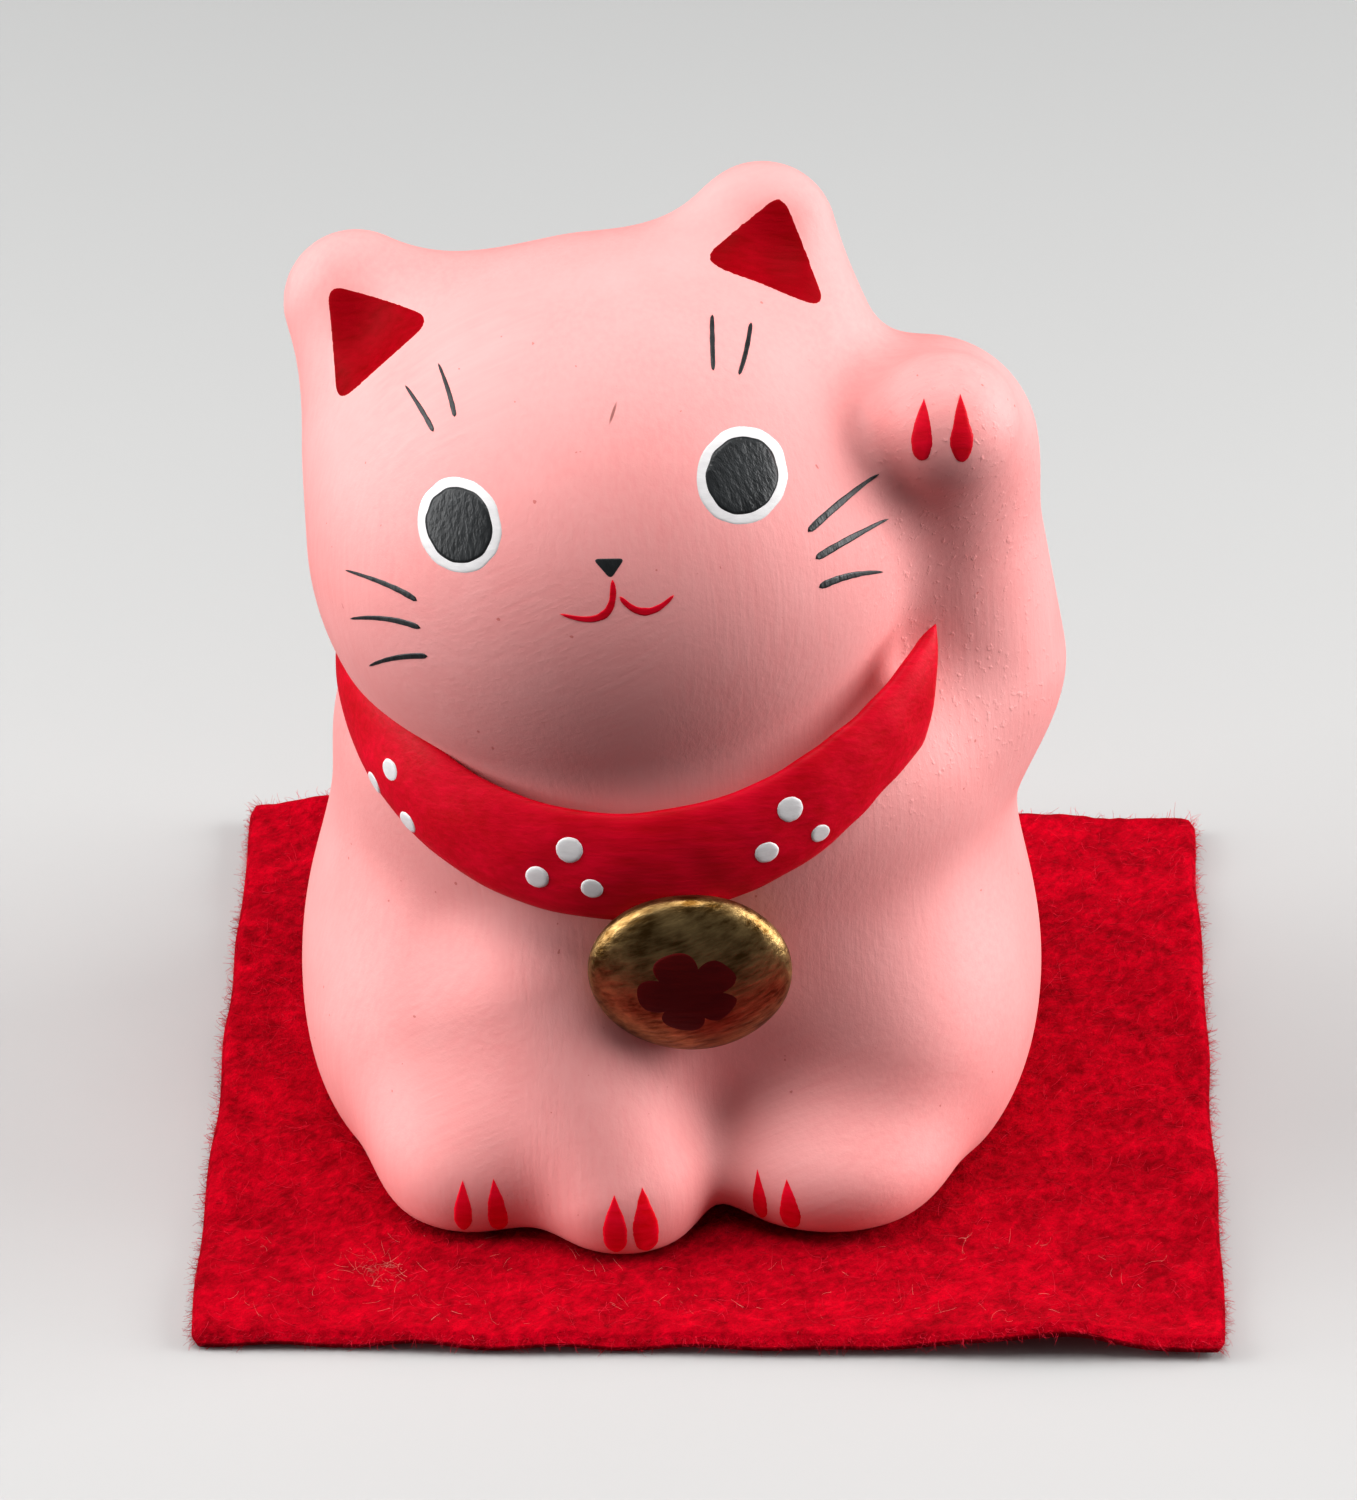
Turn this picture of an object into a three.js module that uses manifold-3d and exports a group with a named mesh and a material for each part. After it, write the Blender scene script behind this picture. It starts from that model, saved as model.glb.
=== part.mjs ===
// Beckoning cat figurine: a hollow painted earthenware cat that stands loose on a square of felt.
// Millimetres. +Z is up, the cat looks along -Y, and its raised arm is on the +X side.
// The origin is the centre of the felt's underside.
import * as THREE from 'three';
import { mergeVertices } from 'three/addons/utils/BufferGeometryUtils.js';
import Module from 'manifold-3d';

const wasm = await Module();
wasm.setup();

// ---------------------------------------------------------------- driving dimensions

const FELT_SIDE = 70;
const FELT_THICKNESS = 1.2;
const FELT_CORNER = 0.5;
const FOOT_GAP = 0.2; // between the felt and the ground foot
const CAT_X = -2.9; // the cat stands a little off the felt's centre

const WALL = 3.2; // thickness of the slip-cast wall
const DRAIN_RADIUS = 5;
const DRAIN_CENTRE = [0, 2];
const FOOT_FLAT = 0.05; // the height at which the foot is ground flat
const NECK = [0, 0, 34]; // every point of the skin can be seen from here

const PAINT_GAP = 0.2; // paint solids stand this far off what they are painted on
const PAINT = 0.25; // thickness of one coat
const SKIN_DETAIL = 15; // subdivisions of the ball that the skin is made from
const CAVITY_DETAIL = 6;
const BALL_RADIUS = 60; // that ball's radius, before it is moved in; it clears the whole cat
const APPROACH = 0.7; // the part of the distance that is left that one step moves in
const SKIN_TOLERANCE = 1e-4;
const MARK_REACH = 30; // how far forward an outline is pushed to meet the skin

// The head's own axes lean back, to look up, and tip sideways, towards the raised paw.
const HEAD_CENTRE = [-4, -3, 45];
const HEAD_RADII = [21, 18, 20];
const HEAD_PITCH = -20;
const HEAD_TILT = -10;
const EAR_FLATNESS = 1.5; // an ear's width over its thickness
const EARS = [
  { base: [-10.5, 0.5, 10], tip: [-15, 0.5, 17.5] },
  { base: [10.5, 0.5, 10], tip: [13, 0.5, 18] },
];
const EAR_BASE_RADIUS = 8.5;
const EAR_TIP_RADIUS = 5;

const TRUNK = [
  { centre: [-0.5, 2.5, 12.5], radii: [25, 21, 19.5], blend: 0 },
  { centre: [0.5, -0.4, 28.8], radii: [23.8, 19.3, 14.4], blend: 8 }, // shoulders
  { centre: [-15, -5.5, 7], radii: [10, 13.5, 11], blend: 6 }, // haunches
  { centre: [15, -5.5, 8.5], radii: [10, 13.5, 12.5], blend: 6 },
  { centre: [-13.5, -17.5, 3.5], radii: [6.5, 6.5, 6], blend: 4 }, // hind feet
  { centre: [11, -17.5, 3.5], radii: [8, 6.5, 5], blend: 4 },
];
const FORELEG = { from: [-8.5, -14.5, 15], to: [-3.2, -20.5, 3.2], radii: [6, 5.8], blend: 4 };
const TAIL = { from: [3, 20.5, 3.5], to: [9.5, 20.8, 8.5], radii: [5, 4], blend: 5 };
const FOREARM = { from: [18.3, 0, 33.2], to: [17, -1, 50], radii: [8.7, 7] };
const RAISED_PAW = { from: [17, -1, 50], to: [18.3, -7, 55], radii: [7, 5] };
const WRIST_BLEND = 3;
const ARM_BLEND = 3;
const NECK_BLEND = 2.5;
const EAR_BLEND = 5;
const FOOT_ROUNDING = 1.2;

// The collar is a bar of lens section bent round the neck. It starts inside the raised arm,
// goes round the nape and the left side and ends, cut aslant, in front of the arm.
const COLLAR = {
  centre: [-1.2, -2.6, 42],
  radii: [20.8, 18],
  thickness: 1.1,
  height: 4,
  lean: -2.4,
  climbRight: 0.108,
  climbBack: 0.11,
  sagSides: 0.008,
  sagEnds: 0.026,
  ends: [20, 332.2],
  slant: 2.8,
  sides: 14,
  steps: 60,
};
// Each dot's angle round the neck, in degrees, its angle round the section, and its radius.
const DOTS = {
  left_upper: [216, 0.3, 0.85],
  left_outer: [208.7, -0.6, 0.85],
  left_lower: [220.1, -0.55, 0.85],
  front_upper: [255.5, 0.71, 0.95],
  front_left: [249.6, 0.03, 0.85],
  front_right: [259.7, 0.02, 0.8],
  right_upper: [295.3, 0.66, 0.95],
  right_outer: [301.4, -0.23, 0.75],
  right_lower: [290.8, 0.06, 0.85],
};

const DOT_REACH = 4; // how far out a dot's outline is pushed, across the collar's coat

const MEDALLION = {
  centre: [1.5, -20.8, 20.3],
  radii: [6.9, 2.4, 6.9],
  lean: 12,
  roll: -6,
  detail: 5,
};
const BLOSSOM = { radius: 3.8, petals: 5, depth: 0.34 };

// ---------------------------------------------------------------- materials

function enamel(colour, roughness, metalness = 0) {
  return new THREE.MeshStandardMaterial({ color: colour, roughness, metalness });
}

const PINK = enamel(0xf2b5b0, 0.6);
const RED = enamel(0xb80523, 0.45);
const WHITE = enamel(0xe4e2e2, 0.5);
const BLACK = enamel(0x2a2b2d, 0.5);
const GOLD = enamel(0x8f733a, 0.35, 0.8);
const FELT = enamel(0xb0001e, 0.95);

// ---------------------------------------------------------------- distance fields

const vector = (values) => new THREE.Vector3(...values);
const radians = THREE.MathUtils.degToRad;

/** Rotation that leans back about X first and then tips sideways about Y. */
function leaning(pitch, tilt) {
  const matrix = new THREE.Matrix4().makeRotationY(radians(tilt));
  return matrix.multiply(new THREE.Matrix4().makeRotationX(radians(pitch)));
}

/** The smaller of two distances, rounded over where they are within `blend` of each other. */
function join(a, b, blend) {
  if (blend === 0) return Math.min(a, b);
  const overlap = Math.max(blend - Math.abs(a - b), 0) / blend;
  return Math.min(a, b) - (overlap * overlap * blend) / 4;
}

/** What is left of `a` once `b` is carved away, with a rounded edge. */
function carve(a, b, blend) {
  return -join(-a, b, blend);
}

function ellipsoidDistance(point, centre, radii) {
  const offset = point.clone().sub(vector(centre)).divide(vector(radii));
  const steep = offset.clone().divide(vector(radii)).length();
  const reach = offset.length();
  return (reach * (reach - 1)) / Math.max(steep, 1e-9);
}

/** Distance to a limb: a cone with a ball at each end. */
function limbDistance(point, limb) {
  const from = vector(limb.from);
  const axis = vector(limb.to).sub(from);
  const length = axis.length();
  const offset = point.clone().sub(from);
  const along = offset.dot(axis) / length;
  const across = Math.sqrt(Math.max(offset.lengthSq() - along * along, 0));
  const [startRadius, endRadius] = limb.radii;
  const slope = (startRadius - endRadius) / length;
  const shift = (across * slope) / Math.sqrt(1 - slope * slope);
  const place = THREE.MathUtils.clamp((along - shift) / length, 0, 1);
  const radius = startRadius + (endRadius - startRadius) * place;
  return Math.hypot(across, along - place * length) - radius;
}

const headAxes = leaning(HEAD_PITCH, HEAD_TILT);
headAxes.setPosition(...HEAD_CENTRE);
const headInverse = headAxes.clone().invert();

function headDistance(point) {
  const local = point.clone().applyMatrix4(headInverse);
  const flat = new THREE.Vector3(1, EAR_FLATNESS, 1);
  const stretched = local.clone().multiply(flat);
  let distance = ellipsoidDistance(local, [0, 0, 0], HEAD_RADII);
  for (const ear of EARS) {
    const limb = {
      from: vector(ear.base).multiply(flat).toArray(),
      to: vector(ear.tip).multiply(flat).toArray(),
      radii: [EAR_BASE_RADIUS, EAR_TIP_RADIUS],
    };
    distance = join(distance, limbDistance(stretched, limb), EAR_BLEND);
  }
  return distance;
}

/** Distance from a point to the cat's outer skin, in the cat's own frame, negative inside. */
function catDistance(point) {
  let distance = Infinity;
  for (const mass of TRUNK) {
    const bulge = ellipsoidDistance(point, mass.centre, mass.radii);
    distance = join(distance, bulge, mass.blend);
  }
  distance = join(distance, limbDistance(point, FORELEG), FORELEG.blend);
  distance = join(distance, limbDistance(point, TAIL), TAIL.blend);
  distance = join(distance, headDistance(point), NECK_BLEND);
  const forearm = limbDistance(point, FOREARM);
  const arm = join(forearm, limbDistance(point, RAISED_PAW), WRIST_BLEND);
  distance = join(distance, arm, ARM_BLEND);
  return carve(distance, point.z, FOOT_ROUNDING);
}

function cavityDistance(point) {
  return Math.max(catDistance(point) + WALL, WALL - point.z);
}

// ---------------------------------------------------------------- solids

/** A closed geometry as a manifold solid, with shared vertices merged. */
function solid(geometry) {
  const bare = geometry.clone();
  bare.deleteAttribute('normal');
  bare.deleteAttribute('uv');
  const merged = mergeVertices(bare, 1e-5);
  const vertProperties = new Float32Array(merged.attributes.position.array);
  const triVerts = new Uint32Array(merged.index.array);
  return new wasm.Manifold(new wasm.Mesh({ numProp: 3, vertProperties, triVerts }));
}

/** A manifold solid as a three.js geometry. */
function geometryOf(manifold) {
  const { vertProperties, triVerts } = manifold.getMesh();
  const geometry = new THREE.BufferGeometry();
  geometry.setAttribute('position', new THREE.BufferAttribute(vertProperties, 3));
  geometry.setIndex(new THREE.BufferAttribute(triVerts, 1));
  geometry.computeVertexNormals();
  return geometry;
}

/** The largest of a manifold's separate bodies. */
function largest(manifold) {
  const bodies = manifold.decompose();
  return bodies.reduce((best, body) => (body.volume() > best.volume() ? body : best));
}

/** A ball whose every point is moved in towards the neck until `field` says `offset`. */
function shrinkwrap(field, offset, detail) {
  const geometry = new THREE.IcosahedronGeometry(1, detail);
  const position = geometry.attributes.position;
  const neck = vector(NECK);
  const direction = new THREE.Vector3();
  for (let i = 0; i < position.count; i += 1) {
    direction.fromBufferAttribute(position, i).normalize();
    let reach = BALL_RADIUS;
    let distance = Infinity;
    while (distance > SKIN_TOLERANCE) {
      const point = neck.clone().addScaledVector(direction, reach);
      distance = field(point) - offset;
      reach -= distance * APPROACH;
    }
    const point = neck.clone().addScaledVector(direction, reach);
    position.setXYZ(i, point.x, point.y, point.z);
  }
  return solid(geometry);
}

function skin(offset) {
  return shrinkwrap(catDistance, offset, SKIN_DETAIL);
}

/** How far the collar's centre line rises above its own centre at (x, y). */
function collarRise(x, y) {
  const climb = COLLAR.climbRight * x + COLLAR.climbBack * y;
  return climb - COLLAR.sagSides * x * x - COLLAR.sagEnds * y * y;
}

/** Point of the collar at an angle round the neck, `out` from and `up` along its centre line. */
function collarPoint(around, out, up) {
  const mean = (COLLAR.radii[0] + COLLAR.radii[1]) / 2;
  const lean = radians(COLLAR.lean);
  const radius = mean + out * Math.cos(lean) - up * Math.sin(lean);
  const x = COLLAR.centre[0] + (radius * Math.cos(around) * COLLAR.radii[0]) / mean;
  const y = COLLAR.centre[1] + (radius * Math.sin(around) * COLLAR.radii[1]) / mean;
  const z = COLLAR.centre[2] + out * Math.sin(lean) + up * Math.cos(lean) + collarRise(x, y);
  return new THREE.Vector3(x, y, z);
}

/** Point of the collar's surface, `offset` outside it, at an angle round its section. */
function collarSurface(around, section, offset) {
  const out = (COLLAR.thickness + offset) * Math.cos(section);
  const up = (COLLAR.height + offset) * Math.sin(section);
  return collarPoint(around, out, up);
}

/** The whole collar, fatter by `offset`: a ball whose vertices are moved into a bent bar. */
function collarBar(offset) {
  const { sides, steps, ends, slant } = COLLAR;
  const geometry = new THREE.SphereGeometry(1, sides, steps);
  const position = geometry.attributes.position;
  for (let step = 0; step <= steps; step += 1) {
    const along = THREE.MathUtils.clamp((step - 1) / (steps - 2), 0, 1);
    const middle = radians(THREE.MathUtils.lerp(ends[0], ends[1], along));
    for (let side = 0; side <= sides; side += 1) {
      const section = ((side % sides) / sides) * 2 * Math.PI;
      const around = middle + radians(slant * along) * Math.sin(section);
      const point = step === 0 || step === steps
        ? collarPoint(middle, 0, 0)
        : collarSurface(around, section, offset);
      position.setXYZ(step * (sides + 1) + side, point.x, point.y, point.z);
    }
  }
  return solid(geometry);
}

/** Frame with its origin at `origin`, whose -Y axis points out along `outward`. */
function facing(origin, outward) {
  const back = outward.clone().normalize().negate();
  const right = new THREE.Vector3().crossVectors(back, new THREE.Vector3(0, 0, 1)).normalize();
  const up = new THREE.Vector3().crossVectors(right, back);
  return new THREE.Matrix4().makeBasis(right, back, up).setPosition(origin);
}

/** An outline drawn in a frame's XZ plane, pushed `reach` mm forwards from that plane. */
function prism(outline, frame, reach) {
  const geometry = new THREE.ExtrudeGeometry(new THREE.Shape(outline), {
    depth: reach,
    bevelEnabled: false,
    steps: 1,
  });
  geometry.rotateX(Math.PI / 2);
  geometry.applyMatrix4(frame);
  return solid(geometry);
}

function ellipsoidSolid(part, offset) {
  const geometry = new THREE.IcosahedronGeometry(1, part.detail);
  geometry.scale(...part.radii.map((radius) => radius + offset));
  geometry.applyMatrix4(leaning(part.lean, part.roll));
  geometry.translate(...part.centre);
  return solid(geometry);
}

// ---------------------------------------------------------------- outlines of the paint marks

function ellipseOutline(x, z, width, height, points = 24) {
  return Array.from({ length: points }, (_, i) => {
    const angle = (i / points) * 2 * Math.PI;
    return new THREE.Vector2(x + Math.cos(angle) * width / 2, z + Math.sin(angle) * height / 2);
  });
}

/** A rounded polygon: straight sides with quadratic corners. */
function roundedOutline(corners, softness) {
  const outline = [];
  corners.forEach((corner, i) => {
    const here = new THREE.Vector2(...corner);
    const before = new THREE.Vector2(...corners[(i + corners.length - 1) % corners.length]);
    const after = new THREE.Vector2(...corners[(i + 1) % corners.length]);
    const start = here.clone().lerp(before, softness);
    const end = here.clone().lerp(after, softness);
    const bend = new THREE.QuadraticBezierCurve(start, here, end);
    outline.push(...bend.getPoints(5));
  });
  return outline;
}

/** A brush stroke along a bent line, `start`, `middle` and `end` wide on the way. */
function strokeOutline({ points, widths }, steps = 8) {
  const [from, over, to] = points.map((point) => new THREE.Vector2(...point));
  const control = over.clone().multiplyScalar(2).addScaledVector(from, -0.5).addScaledVector(to, -0.5);
  const line = new THREE.QuadraticBezierCurve(from, control, to);
  const left = [];
  const right = [];
  for (let i = 0; i <= steps; i += 1) {
    const t = i / steps;
    const [start, middle, end] = widths;
    const width = t < 0.5
      ? THREE.MathUtils.lerp(start, middle, t * 2)
      : THREE.MathUtils.lerp(middle, end, t * 2 - 1);
    const here = line.getPoint(t);
    const tangent = line.getTangent(t);
    const normal = new THREE.Vector2(-tangent.y, tangent.x).multiplyScalar(width / 2);
    left.push(here.clone().add(normal));
    right.unshift(here.clone().sub(normal));
  }
  return [...left, ...right];
}

/** A claw: a teardrop that stands on its round end and comes to a point at the top. */
function clawOutline({ foot, tip, width }, steps = 7) {
  const base = new THREE.Vector2(...foot);
  const axis = new THREE.Vector2(...tip).sub(base);
  const side = new THREE.Vector2(-axis.y, axis.x).normalize();
  const outline = [];
  for (let i = 0; i < steps * 2; i += 1) {
    const angle = (i / (steps * 2)) * 2 * Math.PI;
    const along = (1 - Math.cos(angle)) / 2;
    const half = Math.sin(angle) * Math.sqrt(1 - along) * width * CLAW_FULLNESS;
    outline.push(base.clone().addScaledVector(axis, along).addScaledVector(side, -half));
  }
  return outline;
}

function blossomOutline(points = 40) {
  return Array.from({ length: points }, (_, i) => {
    const angle = (i / points) * 2 * Math.PI;
    const notch = Math.abs(Math.cos((angle * BLOSSOM.petals) / 2 + Math.PI / 4));
    const reach = BLOSSOM.radius * (1 - BLOSSOM.depth * (1 - notch) ** 2);
    return new THREE.Vector2(Math.sin(angle) * reach, Math.cos(angle) * reach);
  });
}

// Face marks are drawn in the head's own frame: x to the right, z up, from the head's centre.
const EYES = { left: [-8.5, 3.7], right: [10.5, 4.1], white: [6.1, 6.6], pupil: [4.6, 5] };
const NOSE = [[0.1, 0.5], [2.3, 0.2], [1.1, -1.1]];
const INNER_EARS = {
  left: [[-16.5, 19.5], [-9, 16.5], [-16.8, 11.4]],
  right: [[15, 21], [9, 17.6], [17, 12.8]],
};
const STROKES = {
  mouth_left: { points: [[1.2, -1.1], [0.2, -3.4], [-2.6, -2.9]], widths: [0.4, 0.6, 0.25] },
  mouth_right: { points: [[1.5, -2.3], [3, -3.6], [5, -2.8]], widths: [0.35, 0.6, 0.25] },
  whisker_left_upper: { points: [[-12.3, -1.1], [-14.4, 0.1], [-17.3, 1]], widths: [0.5, 0.4, 0.2] },
  whisker_left_middle: { points: [[-12.4, -3], [-14.9, -2.3], [-17.6, -2.4]], widths: [0.5, 0.4, 0.2] },
  whisker_left_lower: { points: [[-12.3, -5], [-14.7, -5.1], [-16.9, -5.8]], widths: [0.5, 0.4, 0.2] },
  whisker_right_upper: { points: [[14.1, -0.5], [16.5, 0.9], [19, 2]], widths: [0.6, 0.5, 0.2] },
  whisker_right_middle: { points: [[14.3, -2.4], [16.6, -1.7], [19.1, -1.2]], widths: [0.6, 0.5, 0.2] },
  whisker_right_lower: { points: [[14.2, -4.4], [16.2, -4.2], [18.2, -4.7]], widths: [0.6, 0.5, 0.2] },
  brow_left_outer: { points: [[-11.3, 12.7], [-10.3, 11.3], [-9.5, 9.8]], widths: [0.2, 0.35, 0.4] },
  brow_left_inner: { points: [[-8.8, 13.9], [-8.2, 12.2], [-7.9, 10.6]], widths: [0.2, 0.35, 0.4] },
  brow_right_inner: { points: [[9.7, 14.3], [9.6, 12.7], [9.5, 11]], widths: [0.3, 0.35, 0.3] },
  brow_right_outer: { points: [[12.1, 13.3], [11.7, 11.8], [11.1, 10.4]], widths: [0.3, 0.35, 0.3] },
};
const RED_STROKES = ['mouth_left', 'mouth_right'];

const CLAW_FULLNESS = 0.77; // makes a claw's widest place as wide as it says
// Claws are drawn on the front of the cat: x to the right, z up, in the cat's own frame.
const CLAWS = {
  claw_left_foot_outer: { foot: [-14, 1], tip: [-14, 5.2], width: 1.1 },
  claw_left_foot_inner: { foot: [-11.5, 0.8], tip: [-11.9, 5.3], width: 1.2 },
  claw_front_paw_outer: { foot: [-3.5, 0.9], tip: [-3.6, 5.5], width: 1.5 },
  claw_front_paw_inner: { foot: [-1.3, 0.8], tip: [-1.7, 5.9], width: 1.6 },
  claw_right_foot_inner: { foot: [6.4, 1.4], tip: [6.1, 5.3], width: 0.9 },
  claw_right_foot_outer: { foot: [8.5, 1.1], tip: [8.1, 5.2], width: 1.3 },
  claw_raised_paw_inner: { foot: [16.6, 54.8], tip: [16.8, 58.6], width: 1.3 },
  claw_raised_paw_outer: { foot: [19.4, 54.8], tip: [19.2, 58.9], width: 1.3 },
};

// ---------------------------------------------------------------- the cat

const ground = new THREE.BoxGeometry(2 * FELT_SIDE, 2 * FELT_SIDE, FELT_SIDE);
ground.translate(0, 0, FOOT_FLAT - FELT_SIDE / 2);
const drain = new THREE.CylinderGeometry(DRAIN_RADIUS, DRAIN_RADIUS, 3 * WALL, 32);
drain.rotateX(Math.PI / 2);
drain.translate(...DRAIN_CENTRE, WALL);

const gapSkin = skin(PAINT_GAP);
const firstCoat = skin(PAINT_GAP + PAINT).subtract(gapSkin);
const secondCoat = skin(2 * (PAINT_GAP + PAINT)).subtract(skin(2 * PAINT_GAP + PAINT));

const collar = largest(
  collarBar(0).subtract(gapSkin).subtract(ellipsoidSolid(MEDALLION, PAINT_GAP)),
);
const collarCoat = collarBar(PAINT_GAP + PAINT).subtract(collarBar(PAINT_GAP)).subtract(gapSkin);
const medallion = largest(ellipsoidSolid(MEDALLION, 0).subtract(gapSkin));
const medallionCoat = ellipsoidSolid(MEDALLION, PAINT_GAP + PAINT)
  .subtract(ellipsoidSolid(MEDALLION, PAINT_GAP));
const medallionFrame = leaning(MEDALLION.lean, MEDALLION.roll).setPosition(...MEDALLION.centre);

const cat = new THREE.Group();
cat.position.set(CAT_X, 0, FELT_THICKNESS + FOOT_GAP);

function addToCat(name, manifold, material) {
  const mesh = new THREE.Mesh(geometryOf(manifold), material);
  mesh.name = name;
  cat.add(mesh);
}

/** One paint mark: the part of a coat that lies inside an outline. */
function paint(name, outline, frame, coat, material) {
  addToCat(name, largest(coat.intersect(prism(outline, frame, MARK_REACH))), material);
}

function addCasting() {
  const cavity = shrinkwrap(cavityDistance, 0, CAVITY_DETAIL);
  const casting = skin(0).subtract(solid(ground)).subtract(cavity).subtract(solid(drain));
  addToCat('ceramic_body', casting, PINK);
  addToCat('collar_band', collar, RED);
  addToCat('medallion', medallion, GOLD);
}

function addFace() {
  for (const side of ['left', 'right']) {
    const [x, z] = EYES[side];
    paint(`inner_ear_${side}`, roundedOutline(INNER_EARS[side], 0.12), headAxes, firstCoat, RED);
    paint(`eye_white_${side}`, ellipseOutline(x, z, ...EYES.white), headAxes, firstCoat, WHITE);
    paint(`pupil_${side}`, ellipseOutline(x, z, ...EYES.pupil), headAxes, secondCoat, BLACK);
  }
  paint('nose', roundedOutline(NOSE, 0.22), headAxes, firstCoat, BLACK);
  for (const [name, stroke] of Object.entries(STROKES)) {
    const colour = RED_STROKES.includes(name) ? RED : BLACK;
    paint(name, strokeOutline(stroke), headAxes, firstCoat, colour);
  }
}

function addClaws() {
  const front = new THREE.Matrix4();
  for (const [name, claw] of Object.entries(CLAWS)) {
    paint(name, clawOutline(claw), front, firstCoat, RED);
  }
}

/** A round white dot on the collar. */
function addDot([name, [angle, section, radius]]) {
  const around = radians(angle);
  const inside = collarSurface(around, section, -1);
  const outside = collarSurface(around, section, 1);
  const frame = facing(inside, outside.sub(inside));
  const outline = ellipseOutline(0, 0, 2 * radius, 2 * radius, 16);
  const dot = largest(collarCoat.intersect(prism(outline, frame, DOT_REACH)));
  addToCat(`collar_dot_${name}`, dot, WHITE);
}

function addCollarPaint() {
  Object.entries(DOTS).forEach(addDot);
  paint('medallion_blossom', blossomOutline(), medallionFrame, medallionCoat, RED);
}

// ---------------------------------------------------------------- the felt

function feltMat() {
  const half = FELT_SIDE / 2;
  const corners = [[half, half], [-half, half], [-half, -half], [half, -half]];
  const shape = new THREE.Shape(roundedOutline(corners, FELT_CORNER / FELT_SIDE));
  const geometry = new THREE.ExtrudeGeometry(shape, {
    depth: FELT_THICKNESS,
    bevelEnabled: false,
    steps: 1,
  });
  const mesh = new THREE.Mesh(geometry, FELT);
  mesh.name = 'felt_mat';
  return mesh;
}

addCasting();
addFace();
addClaws();
addCollarPaint();

const group = new THREE.Group();
group.add(cat, feltMat());

export default group;
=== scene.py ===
"""The visible surface of a beckoning cat figurine that stands loose on a square of red felt.

Shapes are worked out in millimetres in the cat's own frame: the origin is the middle of its foot,
x is to the right, y to the back and z up. Pieces are placed in metres in the model's frame.
"""

import math

import bpy
import numpy as np
from mathutils import Matrix, Vector


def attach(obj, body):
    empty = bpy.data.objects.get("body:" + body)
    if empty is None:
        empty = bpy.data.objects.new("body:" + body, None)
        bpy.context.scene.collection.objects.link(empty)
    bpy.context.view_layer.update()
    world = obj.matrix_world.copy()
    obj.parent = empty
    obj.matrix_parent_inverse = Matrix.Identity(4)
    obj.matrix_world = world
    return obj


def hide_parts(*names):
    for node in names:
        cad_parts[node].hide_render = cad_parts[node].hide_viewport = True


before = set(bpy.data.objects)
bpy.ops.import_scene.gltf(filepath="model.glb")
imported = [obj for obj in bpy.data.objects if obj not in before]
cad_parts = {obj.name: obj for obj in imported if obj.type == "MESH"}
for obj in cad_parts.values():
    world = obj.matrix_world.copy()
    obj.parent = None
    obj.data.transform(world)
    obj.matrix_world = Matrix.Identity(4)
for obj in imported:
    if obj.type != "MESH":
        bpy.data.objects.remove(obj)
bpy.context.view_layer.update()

# ---------------------------------------------------------------- dimensions, in millimetres

FELT_SIDE = 70
FELT_THICKNESS = 1.2
FELT_CORNER = 0.5
FELT_ROUNDING = 0.6  # how far in from its edge the felt thins
FELT_NAP = 0.12  # how much the pile's top adds to the felt's thickness
FELT_PILE = 0.05  # height of the pile's bumps
FELT_WANDER = 0.12  # how far the cut edges wander from straight
FELT_WAVES = 0.22  # how high the edges wave
FELT_CLEARANCE = 0.02  # of the felt's underside from the table
# Low arches where an edge stands off the table: the height, the place along the edge, the arch's
# half widths on either side of that, and where its rise begins and ends across the mat.
ARCHES = {
    "back_left": {"height": 1.3, "at": -27, "widths": (9, 9), "rise": (24, 35)},
    "front_right": {"height": 1.4, "at": 24, "widths": (9, 4.5), "rise": (26, 35)},
}
FRINGE_FIBRES = 4200
NAP_FIBRES = 5200
TUFT_FIBRES = 90
STRAY_FIBRES = 150
FIBRE_CLEARANCE = 0.05  # the lowest that a fibre's middle line lies
ASKEW = (0.3, 0.2, 0.93)  # a direction that hardly any fibre runs along
CAT_ORIGIN = np.array([-2.9, 0, 1.4])  # in the model's frame

WALL = 3.2
DRAIN_RADIUS = 5
DRAIN_CENTRE = (0, 2)
DRAIN_EDGE = 0.8  # rounding of the drain hole's edges

HEAD_CENTRE = np.array([-4, -3, 45])
HEAD_RADII = (21, 18, 20)
HEAD_PITCH = -20
HEAD_TILT = -10
EAR_FLATNESS = 1.5
EARS = {
    "left": {"from": (-10.5, 0.5, 10), "to": (-15, 0.5, 17.5), "radii": (8.5, 5)},
    "right": {"from": (10.5, 0.5, 10), "to": (13, 0.5, 18), "radii": (8.5, 5)},
}
# A shallow scoop in the front of each ear: its radii, with its depth as the middle one.
EAR_SCOOP = {"radii": (3.4, 3, 3.8), "depth": 0.55, "edge": 1}

TRUNK = [
    {"centre": (-0.5, 2.5, 12.5), "radii": (25, 21, 19.5), "blend": 0},
    {"centre": (0.5, -0.4, 28.8), "radii": (23.8, 19.3, 14.4), "blend": 8},
    {"centre": (-15, -5.5, 7), "radii": (10, 13.5, 11), "blend": 6},
    {"centre": (15, -5.5, 8.5), "radii": (10, 13.5, 12.5), "blend": 6},
    {"centre": (-13.5, -17.5, 3.5), "radii": (6.5, 6.5, 6), "blend": 4},
    {"centre": (11, -17.5, 3.5), "radii": (8, 6.5, 5), "blend": 4},
]
FORELEG = {"from": (-8.5, -14.5, 15), "to": (-3.2, -20.5, 3.2), "radii": (6, 5.8)}
TAIL = {"from": (3, 20.5, 3.5), "to": (9.5, 20.8, 8.5), "radii": (5, 4)}
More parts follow.
